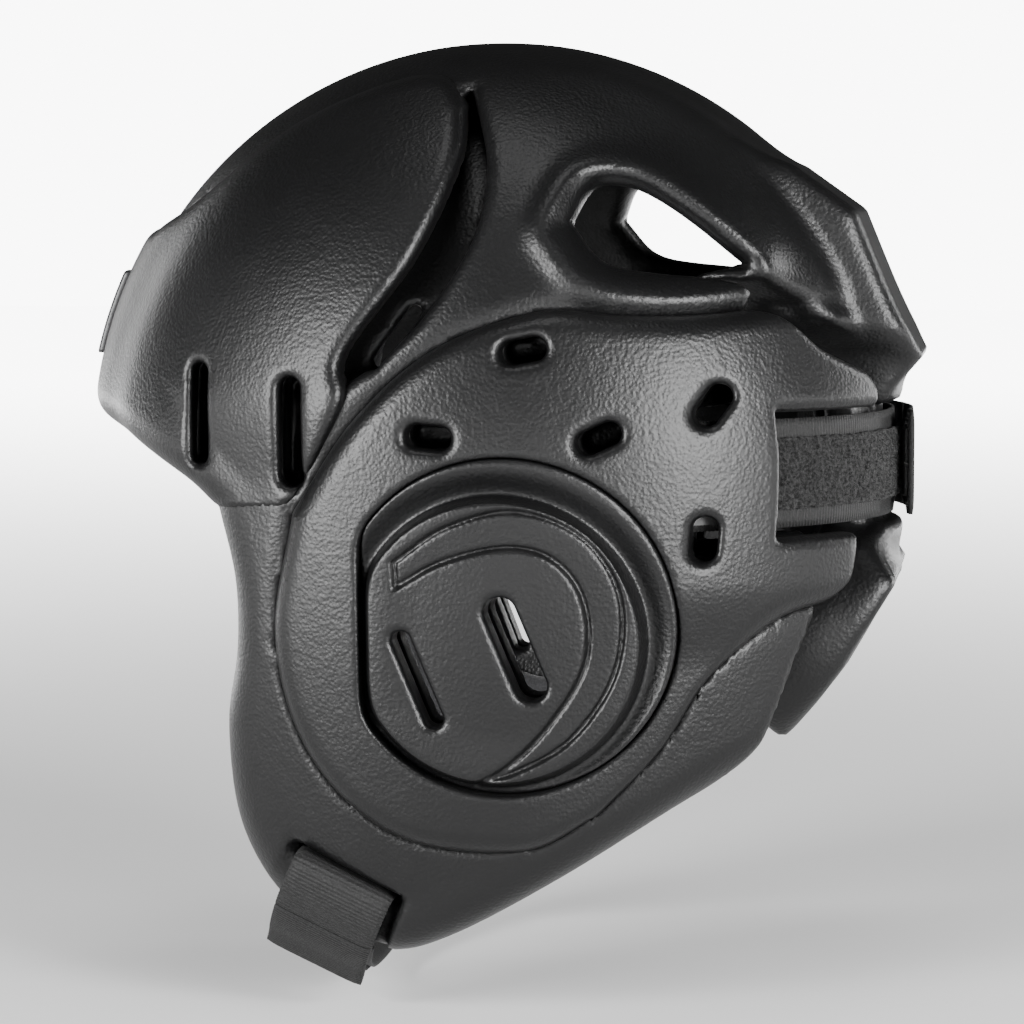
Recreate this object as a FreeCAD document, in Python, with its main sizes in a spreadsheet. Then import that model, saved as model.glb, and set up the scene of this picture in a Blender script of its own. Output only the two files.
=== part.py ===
"""Boxing headgear: foam head guard with hook-and-loop straps, as a parametric FreeCAD document.

Frame: origin midway between the ear openings, +Z up, -Y the way the face looks, +X the wearer's left.
Every foam piece is cut from nested head forms. A head form is half an ellipsoid over the temples and
a taller half ellipsoid below them; "grow" is how far its semi-axes stand out from the bare shell's.
The left side of each pair is built, and the right side is its mirror image.
"""
import FreeCAD, Part
import math
import os

from FreeCAD import Placement, Rotation, Vector

doc = FreeCAD.newDocument("boxing_headgear")

# ---------------------------------------------------------------- driving dimensions (mm)
SIZES = {
    # head form: bare shell surface
    "half_length": 117.0,
    "half_width": 97.0,
    "crown_rise": 118.0,
    "temple_height": 52.0,
    "form_back_shift": 5.0,
    "throat_drop": 218.0,
    # foam layers, as grow of the form
    "shell_thickness": 18.0,
    "layer_depth": 6.0,
    "pad_proud": 4.0,
    "panel_proud": 5.0,
    "cup_proud": 6.5,
    "liner_thickness": 4.0,
    "badge_proud": 5.6,
    "glue_gap": 0.3,
    "groove_gap": 1.0,
    # ear cup
    "cup_radius": 46.0,
    "cup_centre_back": 8.0,
    "cup_centre_up": 10.0,
    "cup_flat_front": 31.0,
    # webbing and hook-and-loop
    "webbing_width": 30.0,
    "webbing_thick": 1.8,
    "loop_thick": 2.0,
    "hook_thick": 1.4,
    "patch_width": 20.0,
    "strap_gap": 0.3,
    "rear_strap_height": 50.0,
    "rear_strap_grow": -4.9,
    "rear_hinge_out": 65.0,
    "rear_seam_out": 20.0,
    "rear_tab_reach": 15.0,
    "chin_tilt": 25.0,
    "chin_half_width": 72.5,
    "chin_drop": 34.0,
    "chin_seam_down": 17.3,
    "chin_tab_reach": 50.0,
    "chin_slot_back": 39.0,
    "chin_slot_down": 62.0,
}

sheet = doc.addObject("Spreadsheet::Sheet", "Sizes")
for line, (alias, value) in enumerate(SIZES.items(), start=1):
    sheet.set(f"A{line}", alias)
    sheet.set(f"B{line}", str(value))
    sheet.setAlias(f"B{line}", alias)
doc.recompute()

NODES = []


def size(alias):
    return sheet.get(alias)


# ---------------------------------------------------------------- small builders
def add(kind, name, **expressions):
    """A document object whose named properties are bound to the sheet."""
    item = doc.addObject(kind, name)
    for prop, text in expressions.items():
        item.setExpression(prop, text)
    return item


def cut(name, base, tool):
    item = doc.addObject("Part::Cut", name)
    item.Base, item.Tool = base, tool
    item.Refine = False
    return item


def common(name, base, tool):
    item = doc.addObject("Part::Common", name)
    item.Base, item.Tool = base, tool
    item.Refine = False
    return item


def fuse(name, *shapes):
    item = doc.addObject("Part::MultiFuse", name)
    item.Shapes = list(shapes)
    item.Refine = False
    return item


def mirror(name, source):
    item = doc.addObject("Part::Mirroring", name)
    item.Source = source
    item.Base = Vector(0, 0, 0)
    item.Normal = Vector(1, 0, 0)
    return item


def node(item, label):
    """Marks an object as a sub-part: its label names its STEP file."""
    item.Label = label
    NODES.append(item)
    return item


def prism(name, runs, place, reach):
    """A prism on a closed outline of runs that share end points: two points a line, more a curve."""
    edges = []
    for run in runs:
        points = [place(*point) for point in run]
        if len(points) == 2:
            edges.append(Part.makeLine(*points))
        else:
            curve = Part.BSplineCurve()
            curve.interpolate(points)
            edges.append(curve.toShape())
    item = doc.addObject("Part::Feature", name)
    item.Shape = Part.Face(Part.Wire(edges)).extrude(reach)
    return item


def extrusion(name, profile, direction, length):
    item = doc.addObject("Part::Extrusion", name)
    item.Base = profile
    item.DirMode = "Custom"
    item.Dir = direction
    item.LengthFwd = length
    item.Solid = True
    return item


def side_prism(name, runs, inner=20.0, outer=150.0):
    """A prism through the left side, its outline in the side view (y, z)."""
    return prism(name, runs, lambda back, up: Vector(inner, back, up), Vector(outer - inner, 0, 0))


def rear_prism(name, runs, front=30.0, back=150.0):
    """A prism through the back, its outline in the rear view (x, z)."""
    return prism(name, runs, lambda out, up: Vector(out, front, up), Vector(0, back - front, 0))


def box(name, corner, extent):
    item = doc.addObject("Part::Box", name)
    item.Length, item.Width, item.Height = extent
    item.Placement = Placement(Vector(*corner), Rotation())
    return item


def slot_tool(name, centre, length, width, tilt, inner=36.0):
    """A round-ended slot cut through the left side; tilt leans its top forward, in degrees."""
    half = (length - width) / 2.0
    parts = [box(name + "_flat", (0, -width / 2.0, -half), (110, width, 2 * half))]
    for end in (-half, half):
        cylinder = doc.addObject("Part::Cylinder", name + "_end")
        cylinder.Radius = width / 2.0
        cylinder.Height = 110
        cylinder.Placement = Placement(Vector(0, 0, end), Rotation(Vector(0, 1, 0), 90))
        parts.append(cylinder)
    tool = fuse(name, *parts)
    tool.Placement = Placement(Vector(inner, *centre), Rotation(Vector(1, 0, 0), tilt))
    return tool


# ---------------------------------------------------------------- head forms
def head_form(name, grow):
    """The head form whose semi-axes stand out by grow, an expression in sheet names."""
    halves = []
    for part, rise, low, high in (("_upper", "crown_rise", 0, 90), ("_lower", "throat_drop", -90, 0)):
        half = add(
            "Part::Ellipsoid", name + part,
            Radius1=f"Sizes.{rise} + {grow}",
            Radius2=f"Sizes.half_width + {grow}",
            Radius3=f"Sizes.half_length + {grow}",
        )
        half.Angle1, half.Angle2 = low, high
        half.setExpression("Placement.Base.y", "-1 * Sizes.form_back_shift")
        half.setExpression("Placement.Base.z", "Sizes.temple_height")
        halves.append(half)
    return fuse(name, *halves)


bare_form = head_form("bare_form", "0")
inner_form = head_form("inner_form", "-1 * Sizes.shell_thickness")
seat_form = head_form("seat_form", "-1 * Sizes.layer_depth")
pad_form = head_form("pad_form", "Sizes.pad_proud")
panel_form = head_form("panel_form", "Sizes.panel_proud")
cup_form = head_form("cup_form", "Sizes.cup_proud")
badge_form = head_form("badge_form", "Sizes.badge_proud")
liner_out = head_form("liner_out", "-1 * Sizes.shell_thickness - Sizes.glue_gap")
liner_in = head_form("liner_in", "-1 * Sizes.shell_thickness - Sizes.glue_gap - Sizes.liner_thickness")

# ---------------------------------------------------------------- outlines, side view (y, z)
BROW_EDGE = [(-140, 62), (-126, 61.5), (-110, 58.5), (-87, 48), (-76, 40)]
CHEEK_EDGE = [(-76, 40), (-66, 20), (-66, 0), (-70, -22), (-67, -50), (-58, -70), (-45, -82)]
JAW_EDGE = [(-45, -82), (-27, -85), (-9, -79), (21, -62), (53, -42), (77, -29)]
SHELL_EDGE = [
    BROW_EDGE,
    CHEEK_EDGE,
    JAW_EDGE,
    [(77, -29), (79, -27.5)],
    [(79, -27.5), (96.4, -6.1)],
    [(96.4, -6.1), (111.3, 18.1)],
    [(111.3, 18.1), (140, 50)],
    [(140, 50), (140, 180)],
    [(140, 180), (-140, 180)],
    [(-140, 180), (-140, 62)],
]
PAD_TOP = [(-140, 117), (-104, 117)]
PAD_CREST = [(-104, 117), (-89, 124.6), (-60.5, 145.5), (-33.6, 157.5), (-17, 160), (-8.5, 151)]
PAD_BACK = [(-8.5, 151), (-8, 134.8), (-17.8, 109), (-36, 83), (-36, 70), (-48, 42)]
PAD_OUTLINE = [
    PAD_TOP,
    PAD_CREST,
    PAD_BACK,
    [(-48, 42), (-76, 40)],
    BROW_EDGE[::-1],
    [(-140, 62), (-140, 117)],
]
PANEL_TOP = [(79, 96), (59, 94), (38, 94), (17, 95), (-11, 85), (-33, 66), (-51, 40)]
PANEL_FRONT = [(-51, 40), (-57, 5), (-48, -27), (-24, -49), (11, -53), (32, -43)]
PANEL_UNDER = [(32, -43), (49, -25), (62, -5), (80, 10), (96, 14)]
PANEL_OUTLINE = [
    PANEL_TOP,
    PANEL_FRONT,
    PANEL_UNDER,
    [(96, 14), (130, 14)],
    [(130, 14), (130, 96)],
    [(130, 96), (79, 96)],
]
OPENING = [[
    (23, 118), (28, 127.5), (36, 128.3), (44, 125.3), (55, 118), (69, 106.5),
], [(69, 106.5), (58, 105), (45, 105), (32, 108), (23, 118)]]

# ---------------------------------------------------------------- outlines, rear view (x, z)
TONGUE_EDGE = [(60, 104), (48, 97.5), (42.5, 90.5), (33, 86), (26, 80), (25, 72)]
LOBE_EDGE = [(25, 33), (36, 27), (44, 12), (45, -4), (40, -18), (30, -31)]
ARM_EDGE = [(70, 33), (47, 33)]
FLANK_EDGE = [(47, 33), (48, 20), (52, 9), (56, -6), (57, -20), (57, -45)]
ARM_TOP = [(38, 67), (37, 73), (41, 78), (48, 81), (56, 86), (62, 97), (63, 103)]
REAR_GAP = [
    TONGUE_EDGE,
    [(25, 72), (25, 33)],
    LOBE_EDGE,
    [(30, -31), (30, -45)],
    [(30, -45), (57, -45)],
    FLANK_EDGE[::-1],
    ARM_EDGE[::-1],
    [(70, 33), (70, 67)],
    [(70, 67), (38, 67)],
    ARM_TOP,
    [(63, 103), (60, 104)],
]

REAR_CORE = [                                     # the middle of the back, where the panels stop
    [(-10, 110), (60, 104)],
    TONGUE_EDGE,
    [(25, 72), (25, 33)],
    LOBE_EDGE,
    [(30, -31), (-10, -31)],
    [(-10, -31), (-10, 110)],
]

# ---------------------------------------------------------------- cutting tools, left side
# name, centre (y, z), length, width, lean of the top towards the face in degrees
EAR_SLOTS = (
    ("ear_slot_front", (-15.1, -4.1), 28.0, 5.0, 22.0),
    ("ear_slot_back", (11.6, 4.5), 30.0, 8.5, 22.0),
)
PANEL_VENTS = (
    ("vent_front", (-11.7, 61.4), 12.5, 6.5, 85.0),
    ("vent_top", (13.3, 84.5), 12.5, 6.5, 100.0),
    ("vent_mid", (33.6, 61.2), 12.5, 6.5, 115.0),
    ("vent_rear", (63.0, 69.6), 12.5, 7.0, 145.0),
    ("vent_low", (61.0, 33.4), 12.5, 7.0, 175.0),
)
BROW_SLOTS = (
    ("brow_slot_front", (-79.5, 66.0), 28.0, 5.0, 0.0),
    ("brow_slot_back", (-51.5, 62.0), 30.0, 6.5, 0.0),
)
CHANNEL_SLOT = ("channel_slot", (-24.0, 87.5), 20.0, 4.0, -35.0)
NOTCH_HALF = 17.0
WALL = 70.0                                       # the notch's front wall, as x

ear_slots = fuse("ear_slots", *[slot_tool(*slot) for slot in EAR_SLOTS])
panel_vents = fuse("panel_vents", *[slot_tool(*slot) for slot in PANEL_VENTS])
brow_slots = fuse("brow_slots", *[slot_tool(*slot) for slot in BROW_SLOTS])
channel_slot = slot_tool(*CHANNEL_SLOT)
opening = side_prism("opening", OPENING, inner=34.0)
rear_gap = rear_prism("rear_gap", REAR_GAP)
strap_low = size("rear_strap_height") - NOTCH_HALF
channel_box = box("channel_box", (-WALL, 60, strap_low), (2 * WALL, 90, 2 * NOTCH_HALF))
strap_channel = cut("strap_channel", channel_box, seat_form)


def grown(runs, by, centre):
    """The same outline moved outwards from a centre, to leave a groove around it."""
    def move(point):
        away = math.hypot(point[0] - centre[0], point[1] - centre[1])
        factor = 1.0 + by / away
        return tuple(c + factor * (p - c) for p, c in zip(point, centre))
    return [[move(point) for point in run] for run in runs]


PANEL_CENTRE = (8.0, 20.0)
rear_core = rear_prism("rear_core", REAR_CORE)
panel_prism = cut("panel_prism", side_prism("panel_side", PANEL_OUTLINE), rear_core)
room_side = side_prism("room_side", grown(PANEL_OUTLINE, size("groove_gap"), PANEL_CENTRE))
panel_room_prism = cut("panel_room_prism", room_side, rear_core)
panel_room = cut("panel_room", panel_room_prism, seat_form)
pad_prism = side_prism("pad_prism", PAD_OUTLINE, inner=-150.0)
pad_room = cut("pad_room", pad_prism, seat_form)


def cup_outline(name, gap):
    """The D of the ear cup as a prism: a disc with a straight front edge."""
    disc = add("Part::Cylinder", name + "_disc", Radius=f"Sizes.cup_radius + {gap}")
    disc.Height = 130
    centre = Vector(20, size("cup_centre_back"), size("cup_centre_up"))
    disc.Placement = Placement(centre, Rotation(Vector(0, 1, 0), 90))
    front = box(name + "_front", (0, -200, -100), (160, 200 - size("cup_flat_front") - gap, 260))
    return cut(name, disc, front)


cup_prism = cup_outline("cup_prism", 0.0)
cup_room = cup_outline("cup_room", size("glue_gap"))

# ---------------------------------------------------------------- chin strap frame
CHIN_TURN = Rotation(Vector(1, 0, 0), -size("chin_tilt"))
CHIN_ORIGIN = Vector(0, -size("chin_slot_back"), -size("chin_slot_down"))
CHIN_PLACE = Placement(CHIN_ORIGIN, CHIN_TURN)    # local -Z runs down the strap, local Y across it
ACROSS = CHIN_TURN.multVec(Vector(0, 1, 0))
WEB = size("webbing_width")
THICK = size("webbing_thick")


def chin_box(name, corner, extent):
    item = box(name, corner, extent)
    item.Placement = CHIN_PLACE.multiply(item.Placement)
    return item


def chin_disc(name, grow, width):
    """An elliptic slab across the chin whose rim is the strap's run at that grow."""
    rim = add(
        "Part::Ellipse", name + "_rim",
        MajorRadius=f"Sizes.chin_half_width + {grow}",
        MinorRadius=f"Sizes.chin_drop + {grow}",
    )
    start = Placement(Vector(0, -width / 2.0, 0), Rotation(Vector(1, 0, 0), 90))
    rim.Placement = CHIN_PLACE.multiply(start)
    return extrusion(name, rim, ACROSS, width)


def chin_band(name, low, high, width, corner, extent):
    """The strap layer between two grows, inside a box of the strap's own frame."""
    ring = cut(name + "_ring", chin_disc(name + "_out", high, width), chin_disc(name + "_in", low, width + 2))
    return common(name, ring, chin_box(name + "_span", corner, extent))


SLOT_HALF = 1.3
POCKET_SIDE = 2.5
pocket_block = chin_box("pocket_block", (20, -WEB / 2 - POCKET_SIDE, -80), (90, WEB + 2 * POCKET_SIDE, 82))
chin_pocket = cut("chin_pocket", pocket_block, chin_disc("pocket_floor", -1.0, 60.0))
chin_slot = chin_box("chin_slot", (50, -WEB / 2 - 0.5, -SLOT_HALF), (60, WEB + 1, 2 * SLOT_HALF))

# ---------------------------------------------------------------- main shell
SPINE_PROFILE = [
    [(66, 140), (81, 134.6)],
    [(81, 134.6), (99, 121.8)],
    [(99, 121.8), (109, 98), (117.6, 80.8)],
    [(117.6, 80.8), (106.5, 68)],
    [(106.5, 68), (92, 68)],
    [(92, 68), (66, 140)],
]
NAPE_PROFILE = [
    [(103, 32), (111.3, 18.1)],
    [(111.3, 18.1), (96.4, -6.1)],
    [(96.4, -6.1), (79, -27.5)],
    [(79, -27.5), (68, -20)],
    [(68, -20), (90, 32)],
    [(90, 32), (103, 32)],
]
SPINE_HALF = 34.0
NAPE_HALF = 46.0


def less(name, base, left_tools):
    """The base without each left tool and its mirror image on the right."""
    for tool in left_tools:
        base = cut(f"{name}_less_{tool.Name}", base, tool)
        base = cut(f"{name}_less_{tool.Name}_right", base, mirror(f"{name}_{tool.Name}_right", tool))
    return base


shell_edge = side_prism("shell_edge", SHELL_EDGE, inner=-150.0)
shell = cut("shell_hollowed", common("shell_trimmed", bare_form, shell_edge), inner_form)
shell = cut("shell_less_pad", shell, pad_room)
shell = less("shell", shell, (panel_room, opening, rear_gap))
shell = cut("shell_channelled", shell, strap_channel)
shell = less("shell", shell, (chin_pocket, chin_slot, ear_slots, panel_vents, brow_slots, channel_slot))
nape = less("nape_lobe", side_prism("nape_block", NAPE_PROFILE, inner=-NAPE_HALF, outer=NAPE_HALF), (rear_gap,))
shell = fuse("shell_with_nape", shell, nape)
node(shell, "main_shell")
spine_block = side_prism("spine_block", SPINE_PROFILE, inner=-SPINE_HALF, outer=SPINE_HALF)
spine_form = head_form("spine_form", "Sizes.glue_gap")
node(less("spine_lobe", cut("spine_outside", spine_block, spine_form), (rear_gap,)), "spine_lobe")


def pair(name, left):
    """The left piece and its mirror image, as two sub-parts."""
    node(left, name + "_left")
    return node(mirror(name + "_right", left), name + "_right")


# ---------------------------------------------------------------- bonded foam pieces
pad = cut("pad_layer", common("pad_block", pad_form, pad_prism), seat_form)
node(less("pad", pad, (panel_room, brow_slots, channel_slot)), "forehead_pad")

BADGE_WIDTH = 4.0
BADGE_PITCH = 9.0
BADGE_LOW = 80.0
BADGE_HIGH = 104.0
badge_bars = []
for number in range(-2, 3):
    bar = box("badge_bar", (number * BADGE_PITCH - BADGE_WIDTH / 2, -150, BADGE_LOW),
              (BADGE_WIDTH, 100, BADGE_HIGH - BADGE_LOW))
    badge_bars.append(bar)
badge_layer = cut("badge_layer", common("badge_block", badge_form, fuse("badge_prism", *badge_bars)), pad_form)
node(badge_layer, "brow_badge")


def band(name, low, high, width, x_from, x_to):
    """A strap layer round the back of the head between two grows, from one x to the other."""
    discs = []
    for end, grow in (("_out", high), ("_in", low)):
        rim = add(
            "Part::Ellipse", name + end + "_rim",
            MajorRadius=f"Sizes.half_length + {grow}",
            MinorRadius=f"Sizes.half_width + {grow}",
        )
        base = Vector(0, -size("form_back_shift"), size("rear_strap_height") - width / 2.0)
        rim.Placement = Placement(base, Rotation(Vector(0, 0, 1), 90))
        discs.append(extrusion(name + end, rim, Vector(0, 0, 1), width))
    ring = cut(name + "_ring", *discs)
    span = box(name + "_span", (x_from, 20, 0), (x_to - x_from, 120, 100))
    return common(name, ring, span)


# layers of the rear strap, as grows
LEFT_IN = size("rear_strap_grow")
LEFT_OUT = LEFT_IN + THICK
LOOP_OUT = LEFT_OUT + size("loop_thick")
HOOK_IN = LOOP_OUT + size("strap_gap")
TAB_IN = HOOK_IN + size("hook_thick")
TAB_OUT = TAB_IN + THICK
HINGE = size("rear_hinge_out")
SEAM = size("rear_seam_out")
REACH = size("rear_tab_reach")
PATCH = size("patch_width")
ANCHORED = 82.0                                   # how far out the webbing is bonded in
PLATE = 1.5
CLEAR = size("strap_gap")
FOLD_GAP = 0.5

left_room = band("left_room", LEFT_IN - CLEAR, LEFT_OUT + PLATE + CLEAR, WEB + 0.8, WALL - 4, ANCHORED + 1)
right_room = band("right_room", TAB_IN - PLATE - CLEAR, TAB_OUT + CLEAR, WEB + 0.8, -ANCHORED - 1, 4 - WALL)

# ---------------------------------------------------------------- side panels and ear cups
panel = cut("panel_layer", common("panel_block", panel_form, panel_prism), seat_form)
for tool in (cup_room, panel_vents, rear_gap):
    panel = cut("panel_less_" + tool.Name, panel, tool)
panel_left = cut("side_panel_left", panel, left_room)
node(panel_left, "side_panel_left")
panel_other = mirror("side_panel_other", panel)
node(cut("side_panel_right", panel_other, right_room), "side_panel_right")

cup_layer = cut("cup_layer", common("cup_block", cup_form, cup_prism), seat_form)
pair("ear_cup", cut("ear_cup", cup_layer, ear_slots))

# ---------------------------------------------------------------- liners inside the shell
EAR_HOLE = 25.0
FOREHEAD_LINER = [[(-140, 68), (-56, 62)], [(-56, 62), (-44, 112)], [(-44, 112), (-140, 126)], [(-140, 126), (-140, 68)]]
SIDE_LINER = [[(-46, -38), (46, -38)], [(46, -38), (46, 54)], [(46, 54), (-46, 54)], [(-46, 54), (-46, -38)]]
CROWN_LINER = [[(-62, 124), (62, 118)], [(62, 118), (62, 170)], [(62, 170), (-62, 170)], [(-62, 170), (-62, 124)]]
NAPE_LINER = [[(60, 36), (110, 36)], [(110, 36), (110, 96)], [(110, 96), (60, 96)], [(60, 96), (60, 36)]]
CROWN_HALF = 30.0
SPINE_LINER_HALF = 20.0


def liner(name, runs, inner, outer=150.0):
    """The stretch of the liner layer inside an outline of the side view."""
    block = common(name + "_block", liner_out, side_prism(name + "_cut", runs, inner, outer))
    return cut(name + "_layer", block, liner_in)


node(liner("forehead", FOREHEAD_LINER, -150.0), "forehead_liner")
node(liner("crown", CROWN_LINER, -CROWN_HALF, CROWN_HALF), "crown_liner")
node(liner("nape", NAPE_LINER, -SPINE_LINER_HALF, SPINE_LINER_HALF), "nape_liner")
ear_bore = doc.addObject("Part::Cylinder", "ear_bore")
ear_bore.Radius = EAR_HOLE
ear_bore.Height = 130
ear_bore.Placement = Placement(Vector(0, 0, 0), Rotation(Vector(0, 1, 0), 90))
pair("side_liner", cut("side_liner", liner("side", SIDE_LINER, 20.0), ear_bore))

# ---------------------------------------------------------------- rear strap
node(band("rear_strap_left", LEFT_IN, LEFT_OUT, WEB, -25, ANCHORED), "rear_strap_left")
node(band("rear_loop_patch", LEFT_OUT, LOOP_OUT, PATCH, -24, WALL - 2), "rear_loop_patch")
node(band("rear_anchor_left", LEFT_OUT, LEFT_OUT + PLATE, WEB - 4, WALL + 4, ANCHORED - 1), "rear_anchor_left")
node(band("rear_strap_right_end", TAB_IN, TAB_OUT, WEB, -ANCHORED, -HINGE - FOLD_GAP), "rear_strap_right_end")
node(band("rear_anchor_right", TAB_IN - PLATE, TAB_IN, WEB - 4, 1 - ANCHORED, -WALL - 4), "rear_anchor_right")
node(band("rear_strap_right", TAB_IN, TAB_OUT, WEB, FOLD_GAP - HINGE, -SEAM - FOLD_GAP), "rear_strap_right")
node(band("rear_strap_tab", TAB_IN, TAB_OUT, WEB, FOLD_GAP - SEAM, REACH), "rear_strap_tab")
node(band("rear_hook_patch", HOOK_IN, TAB_IN, PATCH, 4 - SEAM, REACH - 1), "rear_hook_patch")

# ---------------------------------------------------------------- chin strap
CHIN_LOOP = THICK + size("loop_thick")
CHIN_HOOK = CHIN_LOOP + CLEAR
CHIN_TAB = CHIN_HOOK + size("hook_thick")
CHIN_OUT = CHIN_TAB + THICK
CHIN_HALF = size("chin_half_width")
CHIN_SEAM = size("chin_seam_down")
CHIN_REACH = size("chin_tab_reach")
BELOW = 60.0
STUB_END = 60.5
UNDER_END = 62.0
PATCH_CHIN = 26.0
TAB_START = 2.0

right_ring = chin_band("chin_right_run", 0.0, THICK, WEB, (-100, -30, -BELOW), (100 + UNDER_END, 60, BELOW))
right_stub = chin_box("chin_right_stub", (-CHIN_HALF - THICK, -WEB / 2, 0), (CHIN_HALF + THICK - STUB_END, WEB, 1.0))
node(fuse("chin_strap_right", right_ring, right_stub), "chin_strap_right")
node(
    chin_band("chin_loop_patch", THICK, CHIN_LOOP, PATCH_CHIN, (-20, -30, -BELOW), (20 + UNDER_END - 1, 60, BELOW)),
    "chin_loop_patch",
)
node(
    chin_box("chin_strap_left_end", (STUB_END, -WEB / 2, -THICK / 2), (CHIN_HALF + CHIN_OUT - STUB_END, WEB, THICK)),
    "chin_strap_left_end",
)
node(
    chin_band(
        "chin_strap_left", CHIN_TAB, CHIN_OUT, WEB,
        (20, -30, FOLD_GAP - CHIN_SEAM), (100, 60, CHIN_SEAM - FOLD_GAP - TAB_START),
    ),
    "chin_strap_left",
)
node(
    chin_band(
        "chin_strap_tab", CHIN_TAB, CHIN_OUT, WEB,
        (CHIN_REACH, -30, -BELOW), (60, 60, BELOW - CHIN_SEAM - FOLD_GAP),
    ),
    "chin_strap_tab",
)
node(
    chin_band(
        "chin_hook_patch", CHIN_HOOK, CHIN_TAB, PATCH,
        (CHIN_REACH + 1, -30, -BELOW), (60, 60, BELOW - CHIN_SEAM - 3),
    ),
    "chin_hook_patch",
)
ANCHOR_LONG = 34.0
ANCHOR_HIGH = 12.0
pair(
    "chin_anchor",
    chin_box("chin_anchor", (STUB_END - PLATE, -ANCHOR_LONG / 2, -ANCHOR_HIGH / 2), (PLATE, ANCHOR_LONG, ANCHOR_HIGH)),
)

# ---------------------------------------------------------------- check and write
doc.recompute()
for item in doc.Objects:
    if "Invalid" in item.State or "Error" in item.State:
        raise SystemExit(f"{item.Name} failed: {item.State}")
for item in NODES:
    if item.Shape.isNull() or not item.Shape.isValid():
        raise SystemExit(f"{item.Label} is not a valid shape")
os.makedirs("parts", exist_ok=True)
for item in NODES:
    item.Shape.exportStep(f"parts/{item.Label}.step")
    limits = item.Shape.BoundBox
    print(
        f"{item.Label:22s} {len(item.Shape.Solids)} solid {item.Shape.Volume:10.0f} mm3  "
        f"x {limits.XMin:.1f} {limits.XMax:.1f}  y {limits.YMin:.1f} {limits.YMax:.1f}  "
        f"z {limits.ZMin:.1f} {limits.ZMax:.1f}"
    )
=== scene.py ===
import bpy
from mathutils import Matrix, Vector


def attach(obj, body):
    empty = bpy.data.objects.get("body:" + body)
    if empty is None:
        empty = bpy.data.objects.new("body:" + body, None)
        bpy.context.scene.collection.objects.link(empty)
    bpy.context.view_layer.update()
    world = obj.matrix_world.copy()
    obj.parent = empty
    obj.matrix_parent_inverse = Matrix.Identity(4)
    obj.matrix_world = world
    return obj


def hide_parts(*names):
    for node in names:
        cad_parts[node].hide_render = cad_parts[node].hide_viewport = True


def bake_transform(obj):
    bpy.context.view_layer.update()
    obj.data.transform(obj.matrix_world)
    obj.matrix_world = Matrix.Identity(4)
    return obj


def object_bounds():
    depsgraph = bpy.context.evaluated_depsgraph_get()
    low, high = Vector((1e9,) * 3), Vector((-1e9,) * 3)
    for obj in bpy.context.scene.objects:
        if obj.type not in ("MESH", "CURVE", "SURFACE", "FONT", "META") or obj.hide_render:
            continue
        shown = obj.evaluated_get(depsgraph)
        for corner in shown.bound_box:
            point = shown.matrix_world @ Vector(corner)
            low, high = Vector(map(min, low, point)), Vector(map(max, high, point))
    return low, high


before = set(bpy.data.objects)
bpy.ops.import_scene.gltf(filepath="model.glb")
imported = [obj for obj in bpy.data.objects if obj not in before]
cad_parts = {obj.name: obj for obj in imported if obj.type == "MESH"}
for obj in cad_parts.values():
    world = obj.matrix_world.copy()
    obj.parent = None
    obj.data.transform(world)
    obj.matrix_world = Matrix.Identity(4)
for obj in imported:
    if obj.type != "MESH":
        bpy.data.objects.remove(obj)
CAD_BOX = [list(corner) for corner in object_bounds()]

import math

import bpy
import numpy as np
from mathutils import Vector

# ------------------------------------------------------------------ sizes, in mm in the row frame
HALF_WIDTH, HALF_LENGTH, CROWN_RISE, THROAT_DROP = 97.0, 117.0, 118.0, 218.0
FORM_BACK, TEMPLE_HEIGHT = -5.0, 52.0
SHELL_THICK = 18.0
SEAT_DEPTH = 6.0                    # how deep the pad, panels and cups are let into the shell
SEAT_GAP = 0.2
TRENCH_DEPTH = 13.0                 # the strap slot over the temple
BLIND_DEPTH = 15.0                  # vents and brow slots stop here, in a thin skin
PAD_PROUD = 4.0
FLUSH = 0.25                        # the pad's height where it runs out into the cheek
PANEL_PROUD = 5.0
STRAP_UP = 50.0                     # height of the rear strap's middle line
CHANNEL_OUT = 70.0                  # how far out the rear strap's channel runs
BACK_FROM = 30.0                    # cuts seen from behind start here, as y
SIDE_FROM = 20.0                    # cuts seen from the side start here, as x
CUP_CENTRE, CUP_RADIUS, CUP_FRONT = (8.0, 10.0), 46.0, -31.0
MM = 0.001


# ------------------------------------------------------------------ distance functions
def height(p):
    """How far points stand outside the bare head form: half ellipsoids that meet at the temples."""
    rise = np.where(p[:, 2] > TEMPLE_HEIGHT, CROWN_RISE, THROAT_DROP)
    x = p[:, 0] / HALF_WIDTH
    y = (p[:, 1] - FORM_BACK) / HALF_LENGTH
    z = (p[:, 2] - TEMPLE_HEIGHT) / rise
    level = np.sqrt(x * x + y * y + z * z) + 1e-9
    slope = np.sqrt((x / HALF_WIDTH) ** 2 + (y / HALF_LENGTH) ** 2 + (z / rise) ** 2) + 1e-9
    return level * (level - 1.0) / slope


def smax(a, b, k):
    """The larger of two fields, blended over a band k wide: rounds the edge where they meet."""
    h = np.clip(0.5 + 0.5 * (a - b) / k, 0.0, 1.0)
    return b + (a - b) * h + k * h * (1.0 - h)


def smin(a, b, k):
    return -smax(-a, -b, k)


def soft_step(v, low, high):
    t = np.clip((v - low) / (high - low), 0.0, 1.0)
    return t * t * (3.0 - 2.0 * t)


def bump(v, width):
    return np.exp(-(v / width) ** 2)


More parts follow.
